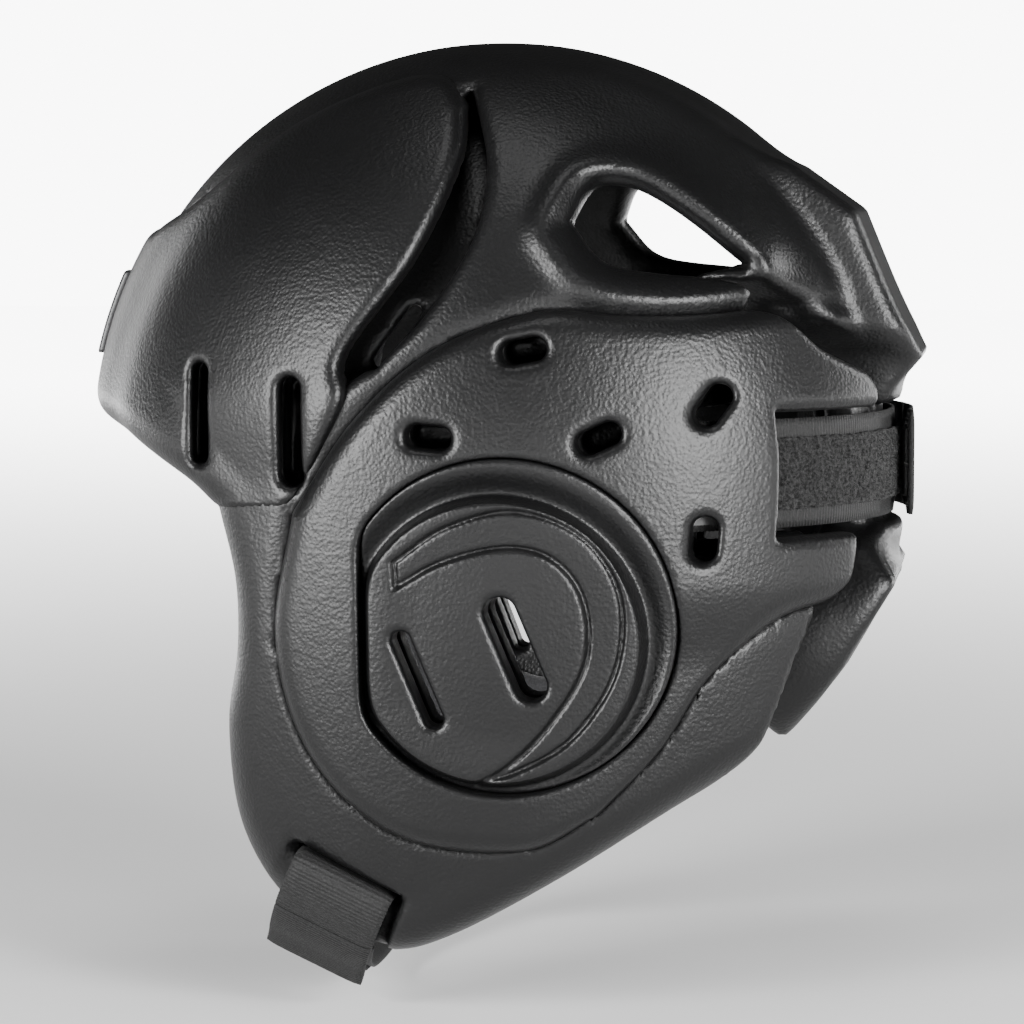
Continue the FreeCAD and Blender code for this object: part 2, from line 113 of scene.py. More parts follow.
def spline(points, steps=10):
    """A smooth open curve through points, as a fine polyline."""
    pts = np.array(points, float)
    if len(pts) == 2:
        return pts
    ext = np.vstack([2 * pts[0] - pts[1], pts, 2 * pts[-1] - pts[-2]])
    out = []
    for i in range(1, len(ext) - 2):
        p0, p1, p2, p3 = ext[i - 1:i + 3]
        for t in np.linspace(0.0, 1.0, steps, endpoint=False):
            out.append(0.5 * (2 * p1 + (p2 - p0) * t + (2 * p0 - 5 * p1 + 4 * p2 - p3) * t ** 2
                              + (3 * p1 - p0 - 3 * p2 + p3) * t ** 3))
    out.append(pts[-1])
    return np.array(out)


RASTER = 0.6
RASTER_LOW = (-150.0, -120.0)
RASTER_SIZE = (480, 500)


class Outline:
    """Signed distance to a closed outline, negative inside, kept on a raster of the view's plane."""

    def __init__(self, runs):
        line = np.vstack([spline(run)[:-1] for run in runs] + [np.array([runs[-1][-1]], float)])
        nx, ny = RASTER_SIZE
        gx = RASTER_LOW[0] + RASTER * np.arange(nx)
        gy = RASTER_LOW[1] + RASTER * np.arange(ny)
        px, py = np.meshgrid(gx, gy, indexing="ij")
        best = np.full(px.shape, 1e9)
        inside = np.zeros(px.shape, bool)
        for a, b in zip(line[:-1], line[1:]):
            d = b - a
            length = float(d @ d)
            if length < 1e-9:
                continue
            t = np.clip(((px - a[0]) * d[0] + (py - a[1]) * d[1]) / length, 0.0, 1.0)
            best = np.minimum(best, (px - a[0] - t * d[0]) ** 2 + (py - a[1] - t * d[1]) ** 2)
            cross = (a[1] > py) != (b[1] > py)
            with np.errstate(divide="ignore", invalid="ignore"):
                at = a[0] + (py - a[1]) * d[0] / d[1]
            inside ^= cross & (px < at)
        self.field = np.sqrt(best) * np.where(inside, -1.0, 1.0)

    def at(self, u, v):
        """The distance at points of the plane, read between the raster's nodes."""
        nx, ny = RASTER_SIZE
        fu = np.clip((u - RASTER_LOW[0]) / RASTER, 0, nx - 1.001)
        fv = np.clip((v - RASTER_LOW[1]) / RASTER, 0, ny - 1.001)
        iu, iv = fu.astype(int), fv.astype(int)
        du, dv = fu - iu, fv - iv
        f = self.field
        return ((f[iu, iv] * (1 - du) + f[iu + 1, iv] * du) * (1 - dv)
                + (f[iu, iv + 1] * (1 - du) + f[iu + 1, iv + 1] * du) * dv)

    def side(self, p):
        return self.at(p[:, 1], p[:, 2])

    def rear(self, p):
        return self.at(np.abs(p[:, 0]), p[:, 2])


def stadium(p, centre, length, width, lean):
    """Signed distance in the side view to a round-ended slot; lean tips its top forward, in degrees."""
    a = math.radians(lean)
    dy, dz = p[:, 1] - centre[0], p[:, 2] - centre[1]
    along = -math.sin(a) * dy + math.cos(a) * dz
    across = math.cos(a) * dy + math.sin(a) * dz
    half = (length - width) / 2.0
    return np.hypot(across, np.maximum(np.abs(along) - half, 0.0)) - width / 2.0


# ------------------------------------------------------------------ surface nets
CORNERS = [(i, j, k) for i in (0, 1) for j in (0, 1) for k in (0, 1)]
EDGES = [(a, b) for a in range(8) for b in range(a + 1, 8)
         if sum(abs(u - v) for u, v in zip(CORNERS[a], CORNERS[b])) == 1]


def sample(field, low, high, voxel, mirrored):
    """The field on a grid from low to high; mirrored means x runs from the middle plane outwards."""
    low, high = np.array(low, float), np.array(high, float)
    if mirrored:
        low[0] = 0.0
    count = np.ceil((high - low) / voxel).astype(int) + 1
    axes = [low[i] + voxel * np.arange(count[i]) for i in range(3)]
    values = np.empty(count, np.float32)
    for i, x in enumerate(axes[0]):
        yy, zz = np.meshgrid(axes[1], axes[2], indexing="ij")
        p = np.column_stack([np.full(yy.size, x), yy.ravel(), zz.ravel()])
        values[i] = field(p).reshape(yy.shape)
    if mirrored:
        values = np.concatenate([values[:0:-1], values])
        low[0] = -axes[0][-1]
    return values, low


def surface_nets(values, low, voxel):
    """Vertices and quads of the zero surface: one vertex in each cell that the surface crosses."""
    n = np.array(values.shape) - 1
    corner = [values[i:i + n[0], j:j + n[1], k:k + n[2]] for i, j, k in CORNERS]
    total = sum((c < 0).astype(np.int8) for c in corner)
    active = (total > 0) & (total < 8)
    cells = np.argwhere(active)
    index = np.full(tuple(n), -1, np.int64)
    index[active] = np.arange(len(cells))
    at = [c[active] for c in corner]
    place = np.zeros((len(cells), 3))
    hits = np.zeros(len(cells))
    for a, b in EDGES:
        va, vb = at[a], at[b]
        cross = (va < 0) != (vb < 0)
        t = np.where(cross, va / np.where(cross, va - vb, 1.0), 0.0)
        ca, cb = np.array(CORNERS[a], float), np.array(CORNERS[b], float)
        place += np.where(cross[:, None], ca + t[:, None] * (cb - ca), 0.0)
        hits += cross
    verts = low + voxel * (cells + place / hits[:, None])
    quads = []
    inside = values < 0
    for axis in range(3):
        u, v = (axis + 1) % 3, (axis + 2) % 3
        here = [slice(None)] * 3
        there = [slice(None)] * 3
        here[axis], there[axis] = slice(0, -1), slice(1, None)
        for s in (here, there):
            s[u], s[v] = slice(1, -1), slice(1, -1)
        a, b = inside[tuple(here)], inside[tuple(there)]
        crossing = np.argwhere(a != b)
        flip = a[a != b]
        base = crossing.copy()
        base[:, u] += 1
        base[:, v] += 1
        ring = []
        for du, dv in ((-1, -1), (0, -1), (0, 0), (-1, 0)):
            cell = base.copy()
            cell[:, u] += du
            cell[:, v] += dv
            ring.append(index[cell[:, 0], cell[:, 1], cell[:, 2]])
        quad = np.column_stack(ring)
        quad[~flip] = quad[~flip][:, ::-1]
        quads.append(quad)
    quads = np.vstack(quads)
    quads = quads[(quads >= 0).all(axis=1)]
    return verts, quads


def settle(field, verts, voxel, rounds=3):
    """Moves vertices along the field's gradient onto the surface, by at most half a voxel a round."""
    step = 0.05 * voxel
    for _ in range(rounds):
        value = field(verts)
        grad = np.empty_like(verts)
        for i in range(3):
            shift = np.zeros(3)
            shift[i] = step
            grad[:, i] = (field(verts + shift) - field(verts - shift)) / (2 * step)
        size = np.maximum((grad ** 2).sum(axis=1), 0.05)
        move = -(value / size)[:, None] * grad
        far = np.linalg.norm(move, axis=1) + 1e-9
        verts = verts + move * np.minimum(1.0, 0.5 * voxel / far)[:, None]
    return verts


def solid(field, low, high, voxel, mirrored=False):
    values, origin = sample(field, low, high, voxel, mirrored)
    verts, quads = surface_nets(values, origin, voxel)
    return settle(field, verts, voxel), quads


def add_mesh(name, verts, faces, material):
    mesh = bpy.data.meshes.new(name)
    mesh.from_pydata((np.asarray(verts) * MM).tolist(), [], [[int(i) for i in face] for face in faces])
    mesh.polygons.foreach_set("use_smooth", [True] * len(mesh.polygons))
    mesh.materials.append(material)
    mesh.update()
    item = bpy.data.objects.new(name, mesh)
    bpy.context.scene.collection.objects.link(item)
    return item


def other_side(verts, faces):
    """The mirror image of a left piece."""
    return verts * np.array([-1.0, 1.0, 1.0]), np.asarray(faces)[:, ::-1]


# ------------------------------------------------------------------ outlines, side view (y, z)
BROW_EDGE = [(-140, 62), (-126, 61.5), (-110, 58.5), (-87, 48), (-76, 40)]
CHEEK_EDGE = [(-76, 40), (-71, 20), (-71, 0), (-75, -22), (-73, -50), (-62, -70), (-45, -82)]
JAW_EDGE = [(-45, -82), (-27, -85), (-9, -79), (21, -62), (53, -42), (77, -29)]
SHELL_EDGE = Outline([
    BROW_EDGE, CHEEK_EDGE, JAW_EDGE,
    [(77, -29), (79, -27.5)], [(79, -27.5), (96.4, -6.1)], [(96.4, -6.1), (111.3, 18.1)],
    [(111.3, 18.1), (140, 50)], [(140, 50), (140, 178)], [(140, 178), (-145, 178)],
    [(-145, 178), (-145, 62)], [(-145, 62), (-140, 62)],
])
PAD_CREST = [(-104, 117), (-89, 124.6), (-60.5, 145.5), (-33.6, 157.5), (-17, 159.5), (-8.5, 151)]
PAD_BACK = [(-8.5, 151), (-8, 134.8), (-17.8, 109), (-36, 83), (-36, 70), (-48, 42)]
PAD = Outline([
    [(-145, 117), (-104, 117)], PAD_CREST, PAD_BACK,
    [(-48, 42), (-76, 40)], [(-76, 40), (-90, 20)], [(-90, 20), (-145, 20)], [(-145, 20), (-145, 117)],
])
PANEL_TOP = [(79, 96), (59, 94), (38, 94), (17, 95), (-11, 85), (-33, 66), (-51, 40)]
PANEL_FRONT = [(-51, 40), (-57, 5), (-48, -27), (-24, -49), (11, -53), (32, -43)]
PANEL_UNDER = [(32, -43), (49, -25), (62, -5), (80, 10), (96, 14)]
PANEL = Outline([
    PANEL_TOP, PANEL_FRONT, PANEL_UNDER,
    [(96, 14), (130, 14)], [(130, 14), (130, 96)], [(130, 96), (79, 96)],
])
OPENING = Outline([
    [(23, 118), (28, 127.5), (36, 128.3), (44, 125.3), (55, 118), (69, 106.5)],
    [(69, 106.5), (58, 105), (45, 105), (32, 108), (23, 118)],
])

# ------------------------------------------------------------------ outlines, rear view (x, z)
TONGUE_EDGE = [(60, 104), (48, 97.5), (42.5, 90.5), (33, 86), (26, 80), (25, 72)]
LOBE_EDGE = [(25, 33), (36, 27), (44, 12), (45, -4), (40, -18), (30, -31)]
FLANK_EDGE = [(47, 33), (48, 20), (52, 9), (56, -6), (57, -20), (57, -45)]
ARM_TOP = [(38, 67), (37, 73), (41, 78), (48, 81), (56, 86), (62, 97), (63, 103)]
REAR_GAP = Outline([
    TONGUE_EDGE, [(25, 72), (25, 33)], LOBE_EDGE, [(30, -31), (30, -60)], [(30, -60), (57, -60)],
    [(57, -60), (57, -45)], FLANK_EDGE[::-1], [(47, 33), (70, 33)],
    [(70, 33), (70, 67)], [(70, 67), (38, 67)],
    ARM_TOP, [(63, 103), (60, 104)],
])

EAR_SLOTS = (((-15.1, -4.1), 28.0, 5.0, 22.0), ((11.6, 4.5), 30.0, 8.5, 22.0))
PANEL_VENTS = (
    ((-11.7, 61.4), 12.5, 6.5, 85.0), ((13.3, 84.5), 12.5, 6.5, 100.0), ((33.6, 61.2), 12.5, 6.5, 115.0),
    ((63.0, 69.6), 12.5, 7.0, 145.0), ((61.0, 33.4), 12.5, 7.0, 175.0),
)
BROW_SLOTS = (((-79.5, 66.0), 28.0, 5.0, 0.0), ((-51.5, 62.0), 30.0, 6.5, 0.0))
CHANNEL_SLOT = ((-24.0, 87.5), 20.0, 4.0, -35.0)

CHANNEL = Outline([
    [(-8, 155), (-1, 135.6), (-1.3, 119), (-6.6, 106), (-16.7, 91), (-30, 79), (-38, 74)],
    [(-38, 74), (-42, 80)],
    [(-42, 80), (-33, 97), (-23, 111), (-14, 134), (-13, 150)],
    [(-13, 150), (-8, 155)],
])
SPINE_LOBE = Outline([
    [(66, 140), (81, 134.6)], [(81, 134.6), (99, 121.8)], [(99, 121.8), (109, 98), (117.6, 80.8)],
    [(117.6, 80.8), (106.5, 68)], [(106.5, 68), (92, 68)], [(92, 68), (66, 140)],
])
NAPE_LOBE = Outline([
    [(103, 32), (111.3, 18.1)], [(111.3, 18.1), (96.4, -6.1)], [(96.4, -6.1), (79, -27.5)],
    [(79, -27.5), (68, -20)], [(68, -20), (90, 32)], [(90, 32), (103, 32)],
])
SPINE_HALF, NAPE_HALF = 34.0, 46.0
REAR_CORE = Outline([
    [(-10, 110), (60, 104)], TONGUE_EDGE, [(25, 72), (25, 33)], LOBE_EDGE,
    [(30, -31), (-10, -31)], [(-10, -31), (-10, 110)],
])
CRESCENT = Outline([
    [(-21, 28), (-8, 37), (8, 42), (21, 40), (32, 33), (39, 21), (40, 7), (36, -7), (25.5, -21),
     (12, -29), (0, -33)],
    [(0, -33), (10, -27), (20.5, -16), (29, -2.5), (31, 10), (28, 22), (20, 30), (8, 32),
     (-8, 28), (-20.6, 21)],
    [(-20.6, 21), (-21, 28)],
])
FOREHEAD_LINER = Outline([[(-140, 68), (-56, 62)], [(-56, 62), (-44, 112)], [(-44, 112), (-140, 126)],
                          [(-140, 126), (-140, 68)]])
EAR_HOLE = 25.0
LINER_OUT, LINER_IN = -18.3, -22.3

# chin strap frame: tilted about X at the slot; w runs across the strap, down is negative
CHIN_TILT = math.radians(25.0)
CHIN_BACK, CHIN_UP = -39.0, -62.0
CHIN_HALF, CHIN_DROP = 72.5, 34.0
WEB, THICK = 30.0, 1.8


def chin_local(p):
    """Places across the chin strap and up along its frame."""
    dy, dz = p[:, 1] - CHIN_BACK, p[:, 2] - CHIN_UP
    across = dy * math.cos(CHIN_TILT) - dz * math.sin(CHIN_TILT)
    up = dy * math.sin(CHIN_TILT) + dz * math.cos(CHIN_TILT)
    return across, up


def chin_run(p, up, grow):
    """Distance outside the chin strap's elliptic run at that grow."""
    a, b = CHIN_HALF + grow, CHIN_DROP + grow
    level = np.sqrt((p[:, 0] / a) ** 2 + (up / b) ** 2) + 1e-9
    slope = np.sqrt((p[:, 0] / a ** 2) ** 2 + (up / b ** 2) ** 2) + 1e-9
    return level * (level - 1.0) / slope


# ------------------------------------------------------------------ foam pieces, as fields
def holes(p, table, inner=36.0):
    """Distance to the nearest of several slots, on both sides of the head."""
    near = np.full(len(p), 1e3)
    for slot in table:
        near = np.minimum(near, stadium(p, *slot))
    return np.maximum(near, inner - np.abs(p[:, 0]))


def rear_room(p):
    """The gap on each side of the back, between the lobes and the side panels' arms."""
    return np.maximum(REAR_GAP.rear(p), BACK_FROM - p[:, 1])


def rear_core(p):
    """The middle of the back, where the lobes are and the panels stop."""
    return np.maximum(REAR_CORE.rear(p), BACK_FROM - p[:, 1])


def shell_swell(p):
    """Soft relief: a lip round the rear opening, two low ridges down the back, a groove by the panels."""
    out = np.abs(p[:, 0])
    lip = 3.2 * bump(OPENING.side(p) - 6.0, 5.0) * soft_step(out, 25.0, 45.0)
    ridge = 2.0 * bump(out - 33.0, 9.0) * soft_step(p[:, 1], 0.0, 55.0) * soft_step(p[:, 2], 70.0, 110.0)
    groove = 1.3 * bump(PANEL.side(p), 3.0) * soft_step(out, 25.0, 45.0) * soft_step(p[:, 2], -10.0, 40.0)
    return lip + ridge - groove


def shell_field(p):
    """The main shell: the form's outer 18 mm inside the side outline, less every seat, slot and opening."""
    h = height(p)
    out = np.abs(p[:, 0])
    body = smax(h - shell_swell(p), SHELL_EDGE.side(p), 10.0)
    body = smax(body, -(h + SHELL_THICK), 6.0)
    pad_room = np.maximum(PAD.side(p) + 3.0, -(h + SEAT_DEPTH))
    body = np.maximum(body, -pad_room)
    panel_room = np.maximum(np.maximum(PANEL.side(p) + 0.8, -(h + SEAT_DEPTH)), SIDE_FROM - out)
    body = smax(body, -np.maximum(panel_room, -rear_core(p)), 1.2)
    trench = np.maximum(np.maximum(CHANNEL.side(p), -(h + TRENCH_DEPTH)), 22.0 - out)
    body = smax(body, -trench, 4.0)
    body = smax(body, -np.maximum(OPENING.side(p), 34.0 - out), 9.0)
    spine = smax(SPINE_LOBE.side(p), out - SPINE_HALF, 7.0)
    nape = smax(NAPE_LOBE.side(p), out - NAPE_HALF, 7.0)
    body = smin(body, smin(spine, nape, 3.0), 4.0)
    body = smax(body, -rear_room(p), 5.0)
    strap = np.maximum(np.maximum(out - CHANNEL_OUT, np.abs(p[:, 2] - STRAP_UP) - 17.0), 60.0 - p[:, 1])
    body = smax(body, -np.maximum(strap, -(h + SEAT_DEPTH)), 3.0)
    across, up = chin_local(p)
    pocket = np.maximum(np.maximum(np.abs(across) - 17.5, up - 2.0), -chin_run(p, up, -1.0))
    body = smax(body, -np.maximum(pocket, SIDE_FROM - out), 3.0)
    slit = np.maximum(np.maximum(np.abs(across) - 15.6, np.abs(up) - 1.3), 50.0 - out)
    body = np.maximum(body, -slit)
    body = smax(body, -holes(p, EAR_SLOTS), 2.0)
    body = smax(body, -holes(p, (CHANNEL_SLOT,)), 2.0)
    blind = np.minimum(holes(p, PANEL_VENTS), holes(p, BROW_SLOTS))
    return smax(body, -np.maximum(blind, -(h + BLIND_DEPTH)), 2.0)


def pad_proud(p):
    """How far the forehead pad stands out: most over the brow block, with a soft valley beside it."""
    out = np.abs(p[:, 0])
    front = soft_step(-p[:, 1], 60.0, 95.0)
    rise = FLUSH + (PAD_PROUD - FLUSH) * np.maximum(front, soft_step(p[:, 2], 44.0, 76.0))
    return rise + front * (0.6 * bump(out, 27.0) - 1.2 * bump(out - 42.0, 10.0))


def pad_field(p):
    """The forehead and temple pad, with a lip that fades out where it meets the cheek."""
    h = height(p)
    lip = 0.6 + 4.4 * np.maximum(soft_step(-p[:, 1], 70.0, 95.0), soft_step(p[:, 2], 44.0, 66.0))
    body = smax(h - pad_proud(p), SHELL_EDGE.side(p), 10.0)
    body = smax(body, PAD.side(p), lip)
    body = np.maximum(body, -(h + SEAT_DEPTH - SEAT_GAP))
    body = smax(body, -np.maximum(PANEL.side(p) - 1.2, SIDE_FROM - np.abs(p[:, 0])), 4.0)
    body = smax(body, -holes(p, BROW_SLOTS), 3.0)
    return smax(body, -holes(p, (CHANNEL_SLOT,)), 3.0)


def cup_edge(p):
    """Distance outside the D of the ear cup."""
    disc = np.hypot(p[:, 1] - CUP_CENTRE[0], p[:, 2] - CUP_CENTRE[1]) - CUP_RADIUS
    return smax(disc, CUP_FRONT - p[:, 1], 3.0)


def plateau_edge(p):
    """Distance outside the raised disc in the middle of the ear cup."""
    disc = np.hypot(p[:, 1] - 6.0, p[:, 2] - 6.0) - 40.0
    return smax(disc, CUP_FRONT + 1.0 - p[:, 1], 3.0)


def panel_field(p):
    """The left side panel; its lower rear edge is low and soft."""
    h = height(p)
    under = soft_step(p[:, 1], 5.0, 45.0) * soft_step(22.0 - p[:, 2], 0.0, 25.0)
    body = smax(h - PANEL_PROUD + 3.6 * under, PANEL.side(p), 7.0 - 4.5 * under)
    body = np.maximum(body, -(h + SEAT_DEPTH - SEAT_GAP))
    body = smax(body, -(cup_edge(p) - 0.25), 1.6)
    body = np.maximum(body, SIDE_FROM - p[:, 0])
    body = smax(body, -np.minimum(rear_room(p), rear_core(p)), 5.0)
    strap = np.maximum(np.maximum(p[:, 0] - CHANNEL_OUT, np.abs(p[:, 2] - STRAP_UP) - 15.4), 60.0 - p[:, 1])
    body = smax(body, -strap, 2.5)
    return smax(body, -holes(p, PANEL_VENTS), 3.2)


def cup_field(p):
    """The left ear cup: a scoop up to the panel, a raised disc with an engraved crescent, two slots."""
    h = height(p)
    edge = cup_edge(p)
    c = CRESCENT.side(p)
    engraved = 0.8 * soft_step(-c, -0.3, 0.5) + 1.3 * bump(c, 0.75)
    away = plateau_edge(p)
    scoop = 4.8 - 4.4 * soft_step(8.5 - away, 0.0, 8.0)
    plateau = 5.6 + 0.9 * soft_step(away, -16.0, -3.0)
    share = soft_step(away, -2.2, 0.4)
    top = plateau * (1.0 - share) + scoop * share - engraved
    body = smax(h - top, edge, 1.2)
    body = np.maximum(body, -(h + SEAT_DEPTH - SEAT_GAP))
    body = np.maximum(body, SIDE_FROM - p[:, 0])
    return smax(body, -holes(p, EAR_SLOTS), 2.6)


def liner_field(edge):
    """A sheet of liner between the two liner forms, inside an edge given as a distance."""
    def field(p):
        h = height(p)
        soft = 0.8 * bump(edge(p) + 6.0, 2.0)
        return smax(smax(h - LINER_OUT, LINER_IN - h + soft, 1.5), edge(p), 3.0)
    return field


def crown_edge(p):
    return np.maximum(np.maximum(np.abs(p[:, 0]) - 30.0, np.abs(p[:, 1]) - 62.0), 120.0 - p[:, 2])


def nape_edge(p):
    return np.maximum(np.maximum(np.abs(p[:, 0]) - 20.0, np.abs(p[:, 2] - 66.0) - 30.0), 60.0 - p[:, 1])


def side_edge(p):
    flat = np.maximum(np.abs(p[:, 1]) - 46.0, np.abs(p[:, 2] - 8.0) - 46.0)
    return np.maximum(np.maximum(flat, EAR_HOLE - np.hypot(p[:, 1], p[:, 2])), 20.0 - p[:, 0])


# ------------------------------------------------------------------ materials
def new_material(name):
    material = bpy.data.materials.new(name)
    material.use_nodes = True
    nodes, links = material.node_tree.nodes, material.node_tree.links
    shader = nodes["Principled BSDF"]
    place = nodes.new("ShaderNodeTexCoord")
    return material, nodes, links, shader, place


def noise(nodes, links, place, scale, detail=3.0, rough=0.55, source="Object"):
    texture = nodes.new("ShaderNodeTexNoise")
    texture.inputs["Scale"].default_value = scale
    texture.inputs["Detail"].default_value = detail
    texture.inputs["Roughness"].default_value = rough
    links.new(place.outputs[source], texture.inputs["Vector"])
    return texture


def ramp(nodes, links, source, low, high, dark, light):
    """A colour that runs from dark to light as the source runs from low to high."""
    item = nodes.new("ShaderNodeValToRGB")
    item.color_ramp.elements[0].position, item.color_ramp.elements[1].position = low, high
    item.color_ramp.elements[0].color, item.color_ramp.elements[1].color = (*dark, 1.0), (*light, 1.0)
    links.new(source, item.inputs["Fac"])
    return item


def spread(nodes, links, source, low, high):
    item = nodes.new("ShaderNodeMapRange")
    item.inputs["To Min"].default_value, item.inputs["To Max"].default_value = low, high
    links.new(source, item.inputs["Value"])
    return item


def bump_node(nodes, links, source, strength, distance, under=None):
    item = nodes.new("ShaderNodeBump")
    item.inputs["Strength"].default_value = strength
    item.inputs["Distance"].default_value = distance
    links.new(source, item.inputs["Height"])
    if under is not None:
        links.new(under.outputs["Normal"], item.inputs["Normal"])
    return item


def foam_material(name, base, rough, grain):
    """Skinned black foam: pebble grain, a little orange peel, dust and a varying satin."""
    material, nodes, links, shader, place = new_material(name)
    pebble = nodes.new("ShaderNodeTexVoronoi")
    pebble.feature = "SMOOTH_F1"
    pebble.inputs["Scale"].default_value = 1050.0
    links.new(place.outputs["Object"], pebble.inputs["Vector"])
    fine = noise(nodes, links, place, 2100.0)
    broad = noise(nodes, links, place, 140.0)
    patchy = noise(nodes, links, place, 22.0)
    tint = ramp(nodes, links, patchy.outputs["Fac"], 0.3, 0.75, base, tuple(1.45 * c for c in base))
    links.new(tint.outputs["Color"], shader.inputs["Base Color"])
    gloss = spread(nodes, links, patchy.outputs["Fac"], rough - 0.05, rough + 0.07)
    links.new(gloss.outputs["Result"], shader.inputs["Roughness"])
    peel = bump_node(nodes, links, broad.outputs["Fac"], 0.25, 0.0006)
    pebbled = bump_node(nodes, links, pebble.outputs["Distance"], grain, 0.00035, peel)
    skin = bump_node(nodes, links, fine.outputs["Fac"], 0.5 * grain, 0.0002, pebbled)
    links.new(skin.outputs["Normal"], shader.inputs["Normal"])
    shader.inputs["Specular IOR Level"].default_value = 0.30
    return material


def cloth_material(name, dark, light, scale, rough, strength, sheen):
    """Black textile: fibre noise in colour and bump, with a soft sheen."""
    material, nodes, links, shader, place = new_material(name)
    fibre = noise(nodes, links, place, scale, 5.0, 0.7)
    patchy = noise(nodes, links, place, 60.0)
    tint = ramp(nodes, links, fibre.outputs["Fac"], 0.42, 0.68, dark, light)
    links.new(tint.outputs["Color"], shader.inputs["Base Color"])
    gloss = spread(nodes, links, patchy.outputs["Fac"], rough - 0.08, rough + 0.08)
    links.new(gloss.outputs["Result"], shader.inputs["Roughness"])
    raised = bump_node(nodes, links, fibre.outputs["Fac"], strength, 0.0005)
    links.new(raised.outputs["Normal"], shader.inputs["Normal"])
    shader.inputs["Sheen Weight"].default_value = sheen
    shader.inputs["Sheen Roughness"].default_value = 0.5
    shader.inputs["Specular IOR Level"].default_value = 0.22
    return material


FOAM = foam_material("moulded_foam", (0.0022, 0.0022, 0.0023), 0.38, 0.34)
BADGE = foam_material("badge_rubber", (0.012, 0.012, 0.0125), 0.32, 0.12)
LINER = cloth_material("liner_fabric", (0.010, 0.010, 0.011), (0.03, 0.03, 0.032), 1400.0, 0.85, 0.6, 0.3)
WEBBING = cloth_material("webbing", (0.004, 0.004, 0.004), (0.018, 0.018, 0.018), 1800.0, 0.6, 0.45, 0.03)
LOOP = cloth_material("loop_pile", (0.001, 0.001, 0.001), (0.030, 0.030, 0.030), 1100.0, 0.9, 1.0, 0.05)
HOOK = cloth_material("hook_tape", (0.004, 0.004, 0.004), (0.03, 0.03, 0.03), 1500.0, 0.5, 1.0, 0.0)
PLATE = foam_material("anchor_plate", (0.02, 0.02, 0.02), 0.5, 0.2)
THREAD = cloth_material("thread", (0.02, 0.02, 0.02), (0.07, 0.07, 0.07), 3000.0, 0.6, 0.5, 0.1)


# ------------------------------------------------------------------ foam pieces
COARSE = 1.0


def finish_piece(item, body, slot, *nodes):
    """Hangs a piece on its body and hides the CAD nodes it stands for; the slot argument is not used."""
    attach(item, body)
    if nodes:
        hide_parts(*nodes)
    return item


shell = solid(shell_field, (0, -134, -104), (102, 124, 174), 1.9 * COARSE, mirrored=True)
finish_piece(add_mesh("shell_foam", *shell, FOAM), "root", "moulded_foam", "main_shell", "spine_lobe")
pad = solid(pad_field, (0, -138, 34), (104, 2, 176), 1.3 * COARSE, mirrored=True)
finish_piece(add_mesh("forehead_foam", *pad, FOAM), "root", "moulded_foam", "forehead_pad")
panel = solid(panel_field, (18, -62, -58), (106, 124, 100), 1.0 * COARSE)
cup = solid(cup_field, (60, -34, -39), (107, 57, 59), 0.62 * COARSE)
side_lining = solid(liner_field(side_edge), (40, -50, -42), (82, 50, 58), 1.3 * COARSE)
for side, turn in (("left", lambda v, f: (v, f)), ("right", other_side)):
    panel_piece = add_mesh(f"panel_foam_{side}", *turn(*panel), FOAM)
    finish_piece(panel_piece, "root", "moulded_foam", f"side_panel_{side}")
    cup_piece = add_mesh(f"cup_foam_{side}", *turn(*cup), FOAM)
    finish_piece(cup_piece, "root", "moulded_foam", f"ear_cup_{side}")
    lining = add_mesh(f"side_lining_{side}", *turn(*side_lining), LINER)
    finish_piece(lining, "root", "liner", f"side_liner_{side}")

LININGS = (
    ("forehead_lining", FOREHEAD_LINER.side, (0, -112, 56), (82, -40, 132), "forehead_liner"),
    ("crown_lining", crown_edge, (0, -66, 116), (34, 66, 156), "crown_liner"),
    ("nape_lining", nape_edge, (0, 56, 32), (24, 98, 100), "nape_liner"),
)
for name, edge, low, high, cad in LININGS:
    lining = add_mesh(name, *solid(liner_field(edge), low, high, 1.3 * COARSE, mirrored=True), LINER)
    finish_piece(lining, "root", "liner", cad)


def badge_field(p):
    """Five upright bars on the brow block."""
    h = height(p)
    pitch = 9.0
    nearest = np.clip(np.round(p[:, 0] / pitch), -2, 2) * pitch
    bar = smax(np.abs(p[:, 0] - nearest) - 2.0, np.abs(p[:, 2] - 92.0) - 12.0, 1.0)
    layer = smax(h - pad_proud(p) - 1.6, -(h - pad_proud(p) + 0.6), 0.6)
    return smax(layer, bar, 0.8)


badge = solid(badge_field, (0, -134, 76), (24, -100, 108), 0.6 * COARSE, mirrored=True)
finish_piece(add_mesh("brow_bars", *badge, BADGE), "root", "badge", "brow_badge")


# ------------------------------------------------------------------ straps
RIB = 1.15


def rear_place(q, w):
    """A point of the rear strap: q in plan, w up across the strap."""
    return np.array([q[0], q[1], STRAP_UP + w])


def chin_place(q, w):
    """A point of the chin strap: q is (x, up) in its tilted frame, w across the strap."""
    y = CHIN_BACK + w * math.cos(CHIN_TILT) + q[1] * math.sin(CHIN_TILT)
    z = CHIN_UP - w * math.sin(CHIN_TILT) + q[1] * math.cos(CHIN_TILT)
    return np.array([q[0], y, z])


def rear_line(grow, x_from, x_to):
    """Centre line of a rear strap layer: the head form's ellipse at strap height."""
    a, b = HALF_WIDTH + grow, HALF_LENGTH + grow
    t = np.linspace(math.asin(x_from / a), math.asin(x_to / a), 160)
    return np.column_stack([a * np.sin(t), FORM_BACK + b * np.cos(t)])


def chin_line(grow, start, end):
    """Centre line of a chin strap layer, between two angles from the left end of its ellipse."""
    a, b = CHIN_HALF + grow, CHIN_DROP + grow
    t = np.radians(np.linspace(start, end, 200))
    return np.column_stack([a * np.cos(t), -b * np.sin(t)])


